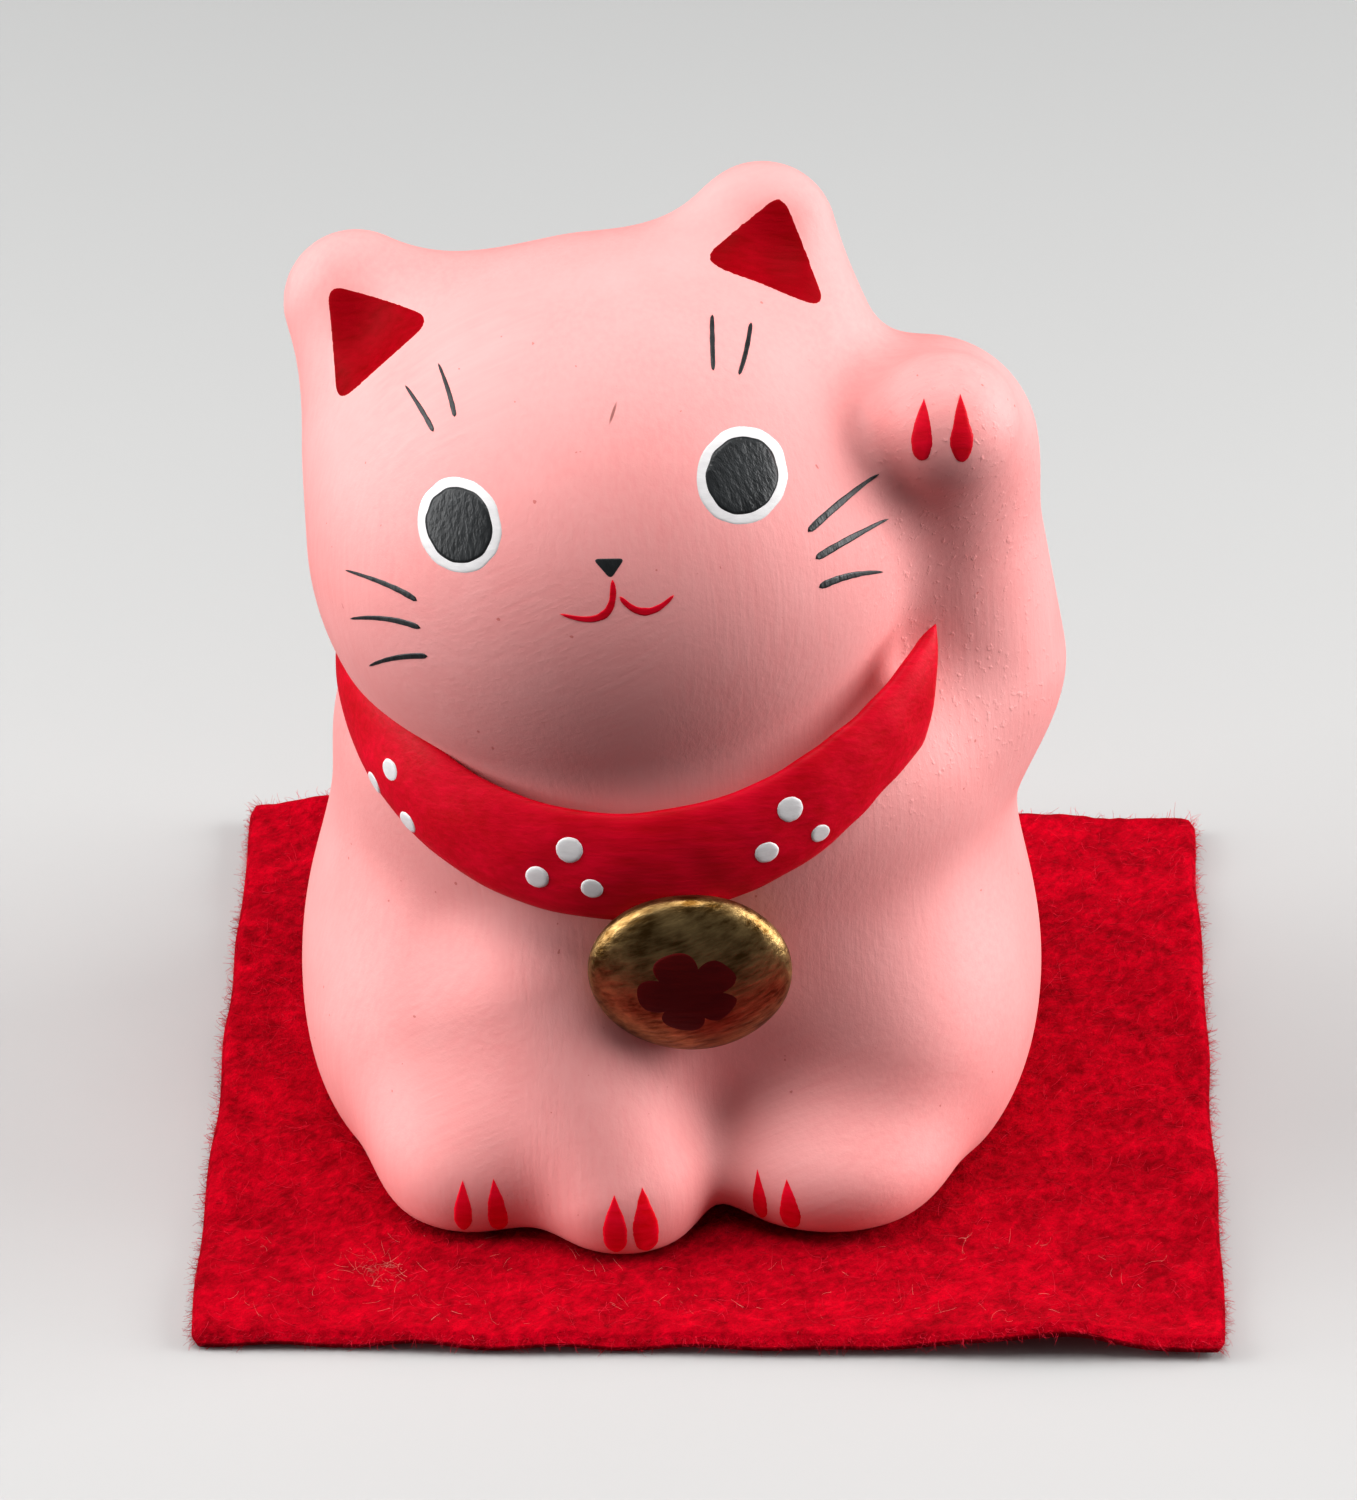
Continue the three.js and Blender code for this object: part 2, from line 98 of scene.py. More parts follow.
FOREARM = {"from": (18.3, 0, 33.2), "to": (17, -1, 50), "radii": (8.7, 7)}
RAISED_PAW = {"from": (17, -1, 50), "to": (18.3, -7, 55), "radii": (7, 5)}
BLENDS = {"foreleg": 4, "tail": 5, "neck": 2.5, "ear": 5, "wrist": 3, "arm": 3, "foot": 1.2}

COLLAR = {
    "centre": (-1.2, -2.6, 42),
    "radii": (20.8, 18),
    "thickness": 1.1,
    "height": 4,
    "lean": -2.4,
    "climb_right": 0.108,
    "climb_back": 0.11,
    "sag_sides": 0.008,
    "sag_ends": 0.026,
    "ends": (20, 332.2),
    "slant": 2.8,
    "soft_end": 0.012,
    "hand": 0.05,
}
# Each dot's angle round the neck, in degrees, its angle round the section, and its radius.
DOTS = {
    "left_upper": (216, 0.3, 0.85),
    "left_outer": (208.7, -0.6, 0.85),
    "left_lower": (220.1, -0.55, 0.85),
    "front_upper": (255.5, 0.71, 0.95),
    "front_left": (249.6, 0.03, 0.85),
    "front_right": (259.7, 0.02, 0.8),
    "right_upper": (295.3, 0.66, 0.95),
    "right_outer": (301.4, -0.23, 0.75),
    "right_lower": (290.8, 0.06, 0.85),
}
MEDALLION = {"centre": (1.5, -20.8, 20.3), "radii": (6.9, 2.4, 6.9), "lean": 12, "roll": -6}
BLOSSOM = {"radius": 3.8, "petals": 5, "depth": 0.34}

# Face marks, in the head's own frame: x to the right, z up, from the head's centre.
EYES = {"left": (-8.5, 3.7), "right": (10.5, 4.1)}
EYE_WHITE = (6.1, 6.6)
PUPIL = (4.6, 5)
NOSE = [(0.1, 0.5), (2.3, 0.2), (1.1, -1.1)]
INNER_EARS = {
    "left": [(-16.5, 19.5), (-9, 16.5), (-16.8, 11.4)],
    "right": [(15, 21), (9, 17.6), (17, 12.8)],
}
STROKES = {
    "mouth_left": ([(1.2, -1.1), (0.2, -3.4), (-2.6, -2.9)], (0.4, 0.6, 0.25)),
    "mouth_right": ([(1.5, -2.3), (3, -3.6), (5, -2.8)], (0.35, 0.6, 0.25)),
    "whisker_left_upper": ([(-12.3, -1.1), (-14.4, 0.1), (-17.3, 1)], (0.5, 0.4, 0.2)),
    "whisker_left_middle": ([(-12.4, -3), (-14.9, -2.3), (-17.6, -2.4)], (0.5, 0.4, 0.2)),
    "whisker_left_lower": ([(-12.3, -5), (-14.7, -5.1), (-16.9, -5.8)], (0.5, 0.4, 0.2)),
    "whisker_right_upper": ([(14.1, -0.5), (16.5, 0.9), (19, 2)], (0.6, 0.5, 0.2)),
    "whisker_right_middle": ([(14.3, -2.4), (16.6, -1.7), (19.1, -1.2)], (0.6, 0.5, 0.2)),
    "whisker_right_lower": ([(14.2, -4.4), (16.2, -4.2), (18.2, -4.7)], (0.6, 0.5, 0.2)),
    "brow_left_outer": ([(-11.3, 12.7), (-10.3, 11.3), (-9.5, 9.8)], (0.2, 0.35, 0.4)),
    "brow_left_inner": ([(-8.8, 13.9), (-8.2, 12.2), (-7.9, 10.6)], (0.2, 0.35, 0.4)),
    "brow_right_inner": ([(9.7, 14.3), (9.6, 12.7), (9.5, 11)], (0.3, 0.35, 0.3)),
    "brow_right_outer": ([(12.1, 13.3), (11.7, 11.8), (11.1, 10.4)], (0.3, 0.35, 0.3)),
}
# Claws, on the front of the cat: where each one stands, its tip and its width.
CLAWS = {
    "claw_left_foot_outer": ((-14, 1), (-14, 5.2), 1.1),
    "claw_left_foot_inner": ((-11.5, 0.8), (-11.9, 5.3), 1.2),
    "claw_front_paw_outer": ((-3.5, 0.9), (-3.6, 5.5), 1.5),
    "claw_front_paw_inner": ((-1.3, 0.8), (-1.7, 5.9), 1.6),
    "claw_right_foot_inner": ((6.4, 1.4), (6.1, 5.3), 0.9),
    "claw_right_foot_outer": ((8.5, 1.1), (8.1, 5.2), 1.3),
    "claw_raised_paw_inner": ((16.6, 54.8), (16.8, 58.6), 1.3),
    "claw_raised_paw_outer": ((19.4, 54.8), (19.2, 58.9), 1.3),
}
CLAW_FULLNESS = 0.77
# A short dark scratch on the forehead: centre, half lengths and turn about y.
SCRATCH = ((-6.7, -14.3, 60.9), (0.13, 1.1, 0.95), -23)
# The paint of the raised arm is gritty: where the grit begins and where it is full, in metres.
GRIT_TO_THE_RIGHT = (0.009, 0.013)
GRIT_UPWARDS = (0.028, 0.033)

PALE_TUFT = (-22.5, -27)  # where a tuft of pale fibres lies on the felt

SKIN_STEP = 0.5  # spacing of the body's surface points
SKIN_BOX = ((-30, -30, -1.5), (31, 30, 71))  # a box that holds the whole cat
PAINT = 0.06  # thickness of one coat of paint
DOT_PAINT = 0.12  # thickness of a collar dot
PAINT_SINK = 0.02  # how deep a coat's outline sinks
PAINT_ROOT = 0.15  # how deep a coat reaches into what it is painted on
START = 60  # distance from which a mark's points fly in to meet the surface
APPROACH = 0.8  # the share of the distance that is left that one step flies
FLIGHT_STEPS = 90
STROKE_HAND = 0.05  # how unsteady the width of a brush stroke is
OUTLINE_HAND = 0.012  # how unsteady a painted round is


# ---------------------------------------------------------------- distance fields


def turned(pitch, tilt):
    """Axes, as columns, that lean back about x first and then tip sideways about y."""
    return np.array(
        Matrix.Rotation(math.radians(tilt), 3, "Y") @ Matrix.Rotation(math.radians(pitch), 3, "X")
    )


HEAD_AXES = turned(HEAD_PITCH, HEAD_TILT)
MEDALLION_AXES = turned(MEDALLION["lean"], MEDALLION["roll"])


def join(a, b, blend):
    """The smaller of two distances, rounded over where they are within blend of each other."""
    if blend == 0:
        return np.minimum(a, b)
    overlap = np.maximum(blend - np.abs(a - b), 0) / blend
    return np.minimum(a, b) - overlap * overlap * blend / 4


def carve(a, b, blend):
    """What is left of a once b is carved away, with a rounded edge."""
    return -join(-a, b, blend)


def ellipsoid(points, centre, radii, axes=np.eye(3)):
    scaled = (points - centre) @ axes / radii
    reach = np.linalg.norm(scaled, axis=-1)
    steep = np.linalg.norm(scaled / radii, axis=-1)
    return reach * (reach - 1) / np.maximum(steep, 1e-9)


def limb(points, part, stretch=(1, 1, 1)):
    """Distance to a cone with a ball at each end, in a space stretched by `stretch`."""
    start = np.multiply(part["from"], stretch)
    axis = np.multiply(part["to"], stretch) - start
    length = np.linalg.norm(axis)
    offset = points * stretch - start
    along = offset @ axis / length
    across = np.sqrt(np.maximum((offset**2).sum(-1) - along**2, 0))
    first, last = part["radii"]
    slope = (first - last) / length
    place = np.clip((along - across * slope / math.sqrt(1 - slope**2)) / length, 0, 1)
    return np.hypot(across, along - place * length) - (first + (last - first) * place)


def bare_head(local):
    """The head with plain ears, in its own frame."""
    distance = ellipsoid(local, (0, 0, 0), HEAD_RADII)
    for ear in EARS.values():
        distance = join(distance, limb(local, ear, (1, EAR_FLATNESS, 1)), BLENDS["ear"])
    return distance


def gradient(field, points, reach=0.02):
    steps = np.eye(3) * reach
    return np.stack([field(points + s) - field(points - s) for s in steps], -1) / (2 * reach)


def outward(field, points):
    slope = gradient(field, points)
    return slope / np.linalg.norm(slope, axis=-1, keepdims=True)


def landing(field, places, origin=(0, 0, 0), axes=np.eye(3)):
    """Where points of a frame's xz plane meet a surface as they fly in along +y, and its normals."""
    points = np.stack([places[:, 0], np.full(len(places), -START), places[:, 1]], -1)
    points = points @ axes.T + origin
    for _ in range(FLIGHT_STEPS):
        points = points + axes[:, 1] * (field(points) * APPROACH)[:, None]
    return points, outward(field, points)


def ear_scoop(corners):
    """The ball that hollows an ear: it rests on the middle of the ear's painted triangle."""
    spot, normal = (value[0] for value in landing(bare_head, np.mean(corners, 0)[None]))
    right = np.cross(-normal, (0, 0, 1))
    right /= np.linalg.norm(right)
    axes = np.stack([right, -normal, np.cross(right, -normal)], 1)
    return spot + normal * (EAR_SCOOP["radii"][1] - EAR_SCOOP["depth"]), axes


SCOOPS = [ear_scoop(corners) for corners in INNER_EARS.values()]


def head(points):
    local = (points - HEAD_CENTRE) @ HEAD_AXES
    distance = bare_head(local)
    for middle, axes in SCOOPS:
        distance = carve(distance, ellipsoid(local, middle, EAR_SCOOP["radii"], axes), EAR_SCOOP["edge"])
    return distance


def skin(points):
    """Distance to the cat's outer skin, negative inside."""
    distance = np.full(points.shape[:-1], np.inf)
    for mass in TRUNK:
        distance = join(distance, ellipsoid(points, mass["centre"], mass["radii"]), mass["blend"])
    distance = join(distance, limb(points, FORELEG), BLENDS["foreleg"])
    distance = join(distance, limb(points, TAIL), BLENDS["tail"])
    distance = join(distance, head(points), BLENDS["neck"])
    arm = join(limb(points, FOREARM), limb(points, RAISED_PAW), BLENDS["wrist"])
    distance = join(distance, arm, BLENDS["arm"])
    return carve(distance, points[..., 2], BLENDS["foot"])


def casting(points):
    """Distance to the slip-cast shell: the skin, its hollow inside and the drain hole."""
    outside = skin(points)
    hollow = np.maximum(outside + WALL, WALL - points[..., 2])
    drain = np.hypot(points[..., 0] - DRAIN_CENTRE[0], points[..., 1] - DRAIN_CENTRE[1])
    drain = np.maximum(drain - DRAIN_RADIUS, points[..., 2] - 3 * WALL)
    return carve(outside, join(hollow, drain, DRAIN_EDGE), DRAIN_EDGE)


def medallion_dome(points):
    return ellipsoid(points, MEDALLION["centre"], MEDALLION["radii"], MEDALLION_AXES)


# ---------------------------------------------------------------- meshes


def surface_net(field, low, high, step):
    """Closed quads on field = 0: a grid with one vertex in every cell that the surface crosses."""
    axes = [np.arange(a, b, step) for a, b in zip(low, high)]
    across = np.stack(np.meshgrid(axes[1], axes[2], indexing="ij"), -1)
    slab = lambda x: np.concatenate([np.full(across.shape[:2] + (1,), x), across], -1)
    inside = np.stack([field(slab(x)) < 0 for x in axes[0]])
    corners = sum(
        inside[i : inside.shape[0] - 1 + i, j : inside.shape[1] - 1 + j, k : inside.shape[2] - 1 + k]
        .astype(int)
        for i in (0, 1)
        for j in (0, 1)
        for k in (0, 1)
    )
    crossed = (corners > 0) & (corners < 8)
    number = np.full(corners.shape, -1)
    number[crossed] = np.arange(crossed.sum())
    vertices = np.array(low) + (np.argwhere(crossed) + 0.5) * step
    quads = []
    for a in range(3):
        unit = np.eye(3, dtype=int)
        b, c = unit[(a + 1) % 3], unit[(a + 2) % 3]
        lower = np.take(inside, np.arange(inside.shape[a] - 1), axis=a)
        upper = np.take(inside, np.arange(1, inside.shape[a]), axis=a)
        edges = np.argwhere(lower != upper)
        ring = [edges - b - c, edges - c, edges, edges - b]
        quad = np.stack([number[tuple(cell.T)] for cell in ring], 1)
        inwards = ~lower[tuple(edges.T)]
        quad[inwards] = quad[inwards][:, ::-1]
        quads.append(quad)
    return vertices, np.concatenate(quads)


def settle(field, vertices, quads, rounds=4):
    """Evens out the vertices and puts them exactly on field = 0."""
    pairs = np.concatenate([quads[:, [i, (i + 1) % 4]] for i in range(4)])
    count = np.bincount(pairs[:, 0], minlength=len(vertices))[:, None]
    for turn in range(rounds):
        slope = gradient(field, vertices)
        steep = (slope**2).sum(-1, keepdims=True)
        vertices = vertices - slope * field(vertices)[:, None] / steep
        if turn < rounds - 1:
            total = [
                np.bincount(pairs[:, 0], vertices[pairs[:, 1], i], len(vertices)) for i in range(3)
            ]
            vertices = (vertices + np.stack(total, -1) / count) / 2
    return vertices


def add_piece(name, vertices, faces, origin=CAT_ORIGIN):
    """A mesh object from vertices in millimetres and faces of one size, or several such arrays."""
    groups = [np.asarray(group) for group in faces]
    mesh = bpy.data.meshes.new(name)
    mesh.vertices.add(len(vertices))
    mesh.vertices.foreach_set("co", ((vertices + origin) / 1000).ravel())
    loops = np.concatenate([group.ravel() for group in groups])
    sizes = np.concatenate([np.full(len(group), group.shape[1]) for group in groups])
    mesh.loops.add(len(loops))
    mesh.loops.foreach_set("vertex_index", loops)
    mesh.polygons.add(len(sizes))
    mesh.polygons.foreach_set("loop_start", np.concatenate([[0], np.cumsum(sizes)[:-1]]))
    mesh.polygons.foreach_set("use_smooth", np.ones(len(sizes), bool))
    mesh.update(calc_edges=True)
    mesh.validate()
    piece = bpy.data.objects.new(name, mesh)
    bpy.context.scene.collection.objects.link(piece)
    return piece


def dress(piece, node, body, material):
    """Puts a piece in place of a CAD node of the same slot."""
    piece.data.materials.append(material)
    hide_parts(node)
    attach(piece, body)


def ripple(points, wavelength, seed, waves=10):
    """Smooth noise about 1 high: a sum of seeded waves of about the same length."""
    rng = np.random.default_rng(seed)
    points = np.asarray(points, float)
    ways = rng.normal(size=(waves, points.shape[-1]))
    ways *= 2 * math.pi / wavelength / np.linalg.norm(ways, axis=1, keepdims=True)
    ways *= rng.uniform(0.6, 1.6, (waves, 1))
    return np.sin(points @ ways.T + rng.uniform(0, 2 * math.pi, waves)).sum(-1) / math.sqrt(waves)


# ---------------------------------------------------------------- paint marks


def grid_faces(rows, columns):
    """Quads of a grid of vertices, and the loop round its outside."""
    number = np.arange(rows * columns).reshape(rows, columns)
    corners = [number[:-1, :-1], number[1:, :-1], number[1:, 1:], number[:-1, 1:]]
    quads = np.stack([corner.ravel() for corner in corners], 1)
    rim = [number[:-1, 0], number[-1, :-1], number[:0:-1, -1], number[0, :0:-1]]
    return quads, np.concatenate(rim)


def strip(centres, sides, halves, columns=9):
    """A patch along a line: places, how near each is to the edge (1 on it), quads and rim."""
    across = np.linspace(-1, 1, columns)
    places = centres[:, None] + sides[:, None] * (across[None, :] * halves[:, None])[..., None]
    near = np.broadcast_to(np.abs(across), (len(centres), columns))
    quads, rim = grid_faces(len(centres), columns)
    return places.reshape(-1, 2), near.ravel(), [quads], rim


def disc(outline, rings=8):
    """A patch inside a closed outline that its middle can see all of."""
    count = len(outline)
    middle = outline.mean(0)
    steps = (np.arange(1, rings + 1) / rings) ** 0.7
    places = middle + (outline - middle)[None] * steps[:, None, None]
    places = np.concatenate([places.reshape(-1, 2), middle[None]])
    near = np.concatenate([np.repeat(steps, count), [0]])
    number = np.arange(rings * count).reshape(rings, count)
    after = np.roll(number, -1, axis=1)
    corners = [number[:-1], number[1:], after[1:], after[:-1]]
    quads = np.stack([corner.ravel() for corner in corners], 1)
    fan = np.stack([np.full(count, rings * count), number[0], after[0]], 1)
    return places, near, [quads, fan], number[-1]


def stroke(points, widths, steps=28):
    """A brush stroke through three points, that swells and tapers and has round ends."""
    start, over, end = np.array(points, float)
    control = 2 * over - (start + end) / 2
    t = np.linspace(0, 1, steps)[:, None]
    centres = (1 - t) ** 2 * start + 2 * t * (1 - t) * control + t**2 * end
    tangent = 2 * (1 - t) * (control - start) + 2 * t * (end - control)
    sides = np.stack([-tangent[:, 1], tangent[:, 0]], -1)
    sides /= np.linalg.norm(sides, axis=1, keepdims=True)
    width = np.interp(t[:, 0], [0, 0.5, 1], widths)
    ends = np.maximum(1 - np.abs(2 * t[:, 0] - 1) ** 10, 0.001) ** 0.5
    hand = 1 + STROKE_HAND * ripple(t * 10, 2.5, seed=int(abs(start[0] * 100 + start[1] * 10)))
    return strip(centres, sides, width * ends * hand / 2)


def claw(foot, tip, width, steps=24):
    """A teardrop that stands on its round end and comes to a point at the top."""
    axis = np.subtract(tip, foot)
    side = np.array([-axis[1], axis[0]]) / np.linalg.norm(axis)
    along = (1 - np.cos(np.linspace(0.12, math.pi - 0.04, steps))) / 2
    halves = 2 * np.sqrt(along * (1 - along)) * np.sqrt(1 - along) * width * CLAW_FULLNESS
    centres = np.array(foot) + axis * along[:, None]
    halves *= 1 + STROKE_HAND * ripple(centres, 1.5, seed=int(foot[0] * 10) % 97)
    return strip(centres, np.broadcast_to(side, centres.shape), halves)


def ellipse(middle, size, seed, count=72):
    """A round drawn by hand."""
    angle = np.linspace(0, 2 * math.pi, count, endpoint=False)
    circle = np.stack([np.cos(angle), np.sin(angle)], -1)
    hand = 1 + OUTLINE_HAND * ripple(circle * 3, 2, seed)
    return np.array(middle) + circle * np.array(size) / 2 * hand[:, None]


def rounded(corners, softness, count=14, total=96):
    """A polygon with quadratic corners, evened out along its length."""
    corners = np.array(corners, float)
    t = np.linspace(0, 1, count)[:, None]
    outline = []
    for before, here, after in zip(np.roll(corners, 1, 0), corners, np.roll(corners, -1, 0)):
        start = here + (before - here) * softness
        end = here + (after - here) * softness
        outline.append((1 - t) ** 2 * start + 2 * t * (1 - t) * here + t**2 * end)
    outline = np.concatenate(outline)
    closed = np.concatenate([outline, outline[:1]])
    length = np.concatenate([[0], np.cumsum(np.linalg.norm(np.diff(closed, axis=0), axis=1))])
    even = np.linspace(0, length[-1], total + 1)[:-1]
    return np.stack([np.interp(even, length, closed[:, i]) for i in (0, 1)], -1)


def blossom(count=160):
    """The outline of a flower with round petals."""
    angle = np.linspace(0, 2 * math.pi, count, endpoint=False)
    notch = np.abs(np.cos(angle * BLOSSOM["petals"] / 2 + math.pi / 4))
    reach = BLOSSOM["radius"] * (1 - BLOSSOM["depth"] * (1 - notch) ** 2)
    return np.stack([np.sin(angle), np.cos(angle)], -1) * reach[:, None]


def coat(patch, points, normals, thickness=PAINT, lift=0.0):
    """A closed coat of paint over a patch, thick in the middle and gone at its outline."""
    _, near, groups, rim = patch
    height = thickness * np.sqrt(1 - np.clip(near, 0, 1) ** 6) - PAINT_SINK + lift
    top = points + normals * height[:, None]
    bottom = points - normals * PAINT_ROOT
    count = len(points)
    following = np.roll(rim, -1)
    wall = np.stack([rim, rim + count, following + count, following], 1)
    faces = []
    for group in groups:
        faces += [group, group[:, ::-1] + count]
    return np.concatenate([top, bottom]), faces + [wall]


def oriented(vertices, faces, normals):
    """The faces, turned over if the first group's faces look away from the surface's normals."""
    group = faces[0]
    a, b, c = (vertices[group[:, i]] for i in (0, 1, 2))
    towards = (np.cross(b - a, c - a) * normals[group[:, 0]]).sum()
    return faces if towards > 0 else [group[:, ::-1] for group in faces]


def paint_mark(node, patch, material, field=skin, origin=(0, 0, 0), axes=np.eye(3), lift=0.0):
    """Paints a patch of a frame's xz plane on the surface in front of which it lies."""
    points, normals = landing(field, patch[0], np.array(origin, float), axes)
    vertices, faces = coat(patch, points, normals, lift=lift)
    faces = oriented(vertices, faces, normals)
    dress(add_piece(f"{node}_paint", vertices, faces), node, "figurine", material)


# ---------------------------------------------------------------- collar and medallion


def collar_points(around, section, thick=1, high=1):
    """Points of the collar's surface at angles round the neck and round its section."""
    radii = COLLAR["radii"]
    mean = sum(radii) / 2
    lean = math.radians(COLLAR["lean"])
    out = thick * COLLAR["thickness"] * np.cos(section)
    up = high * COLLAR["height"] * np.sin(section)
    radius = mean + out * math.cos(lean) - up * math.sin(lean)
    x = COLLAR["centre"][0] + radius * np.cos(around) * radii[0] / mean
    y = COLLAR["centre"][1] + radius * np.sin(around) * radii[1] / mean
    climb = COLLAR["climb_right"] * x + COLLAR["climb_back"] * y
    rise = climb - COLLAR["sag_sides"] * x * x - COLLAR["sag_ends"] * y * y
    z = COLLAR["centre"][2] + out * math.sin(lean) + up * math.cos(lean) + rise
    return np.stack([x, y, z], -1)


def bar_faces(steps, sides):
    """Quads along a bar of closed sections, and a fan on each of its two ends."""
    number = np.arange(steps * sides).reshape(steps, sides)
    beside = np.roll(number, -1, axis=1)
    quads = np.stack([a.ravel() for a in (number[:-1], number[1:], beside[1:], beside[:-1])], 1)
    tips = np.full(sides, steps * sides)
    first = np.stack([tips, number[0], beside[0]], 1)
    last = np.stack([tips + 1, beside[-1], number[-1]], 1)
    return [quads, first, last]


def make_collar(material, steps=480, sides=96):
    """A bar bent round the neck. Its right end is cut aslant and thins out softly."""
    start, end = (math.radians(angle) for angle in COLLAR["ends"])
    along = np.linspace(0, 1, steps)
    section = np.linspace(0, 2 * math.pi, sides, endpoint=False)
    along, section = (a.ravel() for a in np.meshgrid(along, section, indexing="ij"))
    slant = math.radians(COLLAR["slant"]) * along * np.sin(section)
    around = start + (end - start) * along + slant
    past = np.clip((along - 1 + COLLAR["soft_end"]) / COLLAR["soft_end"], 0, 1)
    rounding = np.sqrt(1 - 0.9 * past**2)
    points = collar_points(around, section, rounding)
    middle = collar_points(around, section, 0, 0)
    away = points - middle
    away /= np.linalg.norm(away, axis=1, keepdims=True)
    points = points + away * (COLLAR["hand"] * ripple(points, 4, seed=5))[:, None]
    ends = points.reshape(steps, sides, 3)[[0, -1]].mean(1)
    points = np.concatenate([points, ends])
    faces = oriented(points, bar_faces(steps, sides), away)
    dress(add_piece("collar_relief", points, faces), "collar_band", "figurine", material)


def make_dot(name, spot, material):
    """A round dot laid on the collar along its own two directions."""
    angle, section, radius = spot
    around = math.radians(angle)
    outline = ellipse((0, 0), (2 * radius, 2 * radius), seed=int(angle))
    patch = disc(outline, rings=6)
    here = collar_points(around, section)
    nudge = 1e-3
    along = (collar_points(around + nudge, section) - here) / nudge
    up = (collar_points(around, section + nudge) - here) / nudge
    flat = np.stack([along, up], 1)
    right = along / np.linalg.norm(along)
    normal = np.cross(right, up)
    normal /= np.linalg.norm(normal)
    raised = np.cross(normal, right)
    wanted = patch[0][:, :1] * right + patch[0][:, 1:] * raised
    turns = np.linalg.lstsq(flat, wanted.T, rcond=None)[0]
    points = collar_points(around + turns[0], section + turns[1])
    normals = np.broadcast_to(normal, points.shape)
    vertices, faces = coat(patch, points, normals, thickness=DOT_PAINT)
    faces = oriented(vertices, faces, normals)
    node = f"collar_dot_{name}"
    dress(add_piece(f"{node}_paint", vertices, faces), node, "figurine", material)


def make_medallion(material, rings=64, sides=128):
    """A flattened pebble: its rim is rounder than its face."""
    angle = np.linspace(0, 2 * math.pi, sides, endpoint=False)
    rise = np.linspace(-math.pi / 2, math.pi / 2, rings + 2)[1:-1]
    rise, angle = (a.ravel() for a in np.meshgrid(rise, angle, indexing="ij"))
    ball = np.stack([np.cos(rise) * np.cos(angle), np.sin(rise), np.cos(rise) * np.sin(angle)], -1)
    poles = np.array([[0, -1, 0], [0, 1, 0]])
    ball = np.concatenate([ball, poles])
    ball = ball * (1 + 0.008 * ripple(ball, 1.2, seed=11))[:, None]
    points = ball * MEDALLION["radii"] @ MEDALLION_AXES.T + MEDALLION["centre"]
    number = np.arange(rings * sides).reshape(rings, sides)
    after = np.roll(number, -1, axis=1)
    quads = np.stack([a.ravel() for a in (number[:-1], number[1:], after[1:], after[:-1])], 1)
    front = np.stack([np.full(sides, rings * sides), number[0], after[0]], 1)
    back = np.stack([np.full(sides, rings * sides + 1), after[-1], number[-1]], 1)
    faces = oriented(points, [quads, front, back], points - MEDALLION["centre"])
    dress(add_piece("medallion_relief", points, faces), "medallion", "figurine", material)


# ---------------------------------------------------------------- the felt


def felt_outline(square):
    """Moves points of the square -1..1 onto the cut shape of the mat, which isn't quite square."""
    half = FELT_SIDE / 2
    x, y = square[:, 0], square[:, 1]
    soft = FELT_CORNER / half
    fold = np.maximum(np.abs(x), np.abs(y))
    both = np.minimum(np.abs(x), np.abs(y))
    corner = np.clip((both - (1 - 2 * soft)) / (2 * soft), 0, 1)
    corner = corner * np.clip((fold - 0.8) / 0.2, 0, 1)
    shrink = 1 - 0.5 * soft * corner**2
    edge = fold**6
    sides = FELT_WANDER * ripple(y[:, None] * half, 24, seed=21)
    ends = FELT_WANDER * ripple(x[:, None] * half, 26, seed=22)
    wide = x * shrink * half + x * edge * sides
    deep = y * shrink * half + y * edge * ends
    return np.stack([wide, deep], -1)


def arch(along, across, name):
    """The rise of one of the arches, that dies away inwards from the mat's edge."""
    shape = ARCHES[name]
    start, end = shape["rise"]
    off = (along - shape["at"]) / np.where(along < shape["at"], *shape["widths"])
    return shape["height"] * np.exp(-(off**2)) * np.clip((across - start) / (end - start), 0, 1) ** 2


def felt_lift(places):
    """How far the mat's underside stands off the table: a little along its free edges."""
    x, y = places[:, 0], places[:, 1]
    half = FELT_SIDE / 2
    near_edge = np.clip(np.maximum(np.abs(x), np.abs(y)) / half, 0, 1) ** 8
    waves = FELT_WAVES * near_edge * np.maximum(1 + ripple(places, 11, seed=23), 0)
    return FELT_CLEARANCE + arch(x, y, "back_left") + arch(x, -y, "front_right") + waves


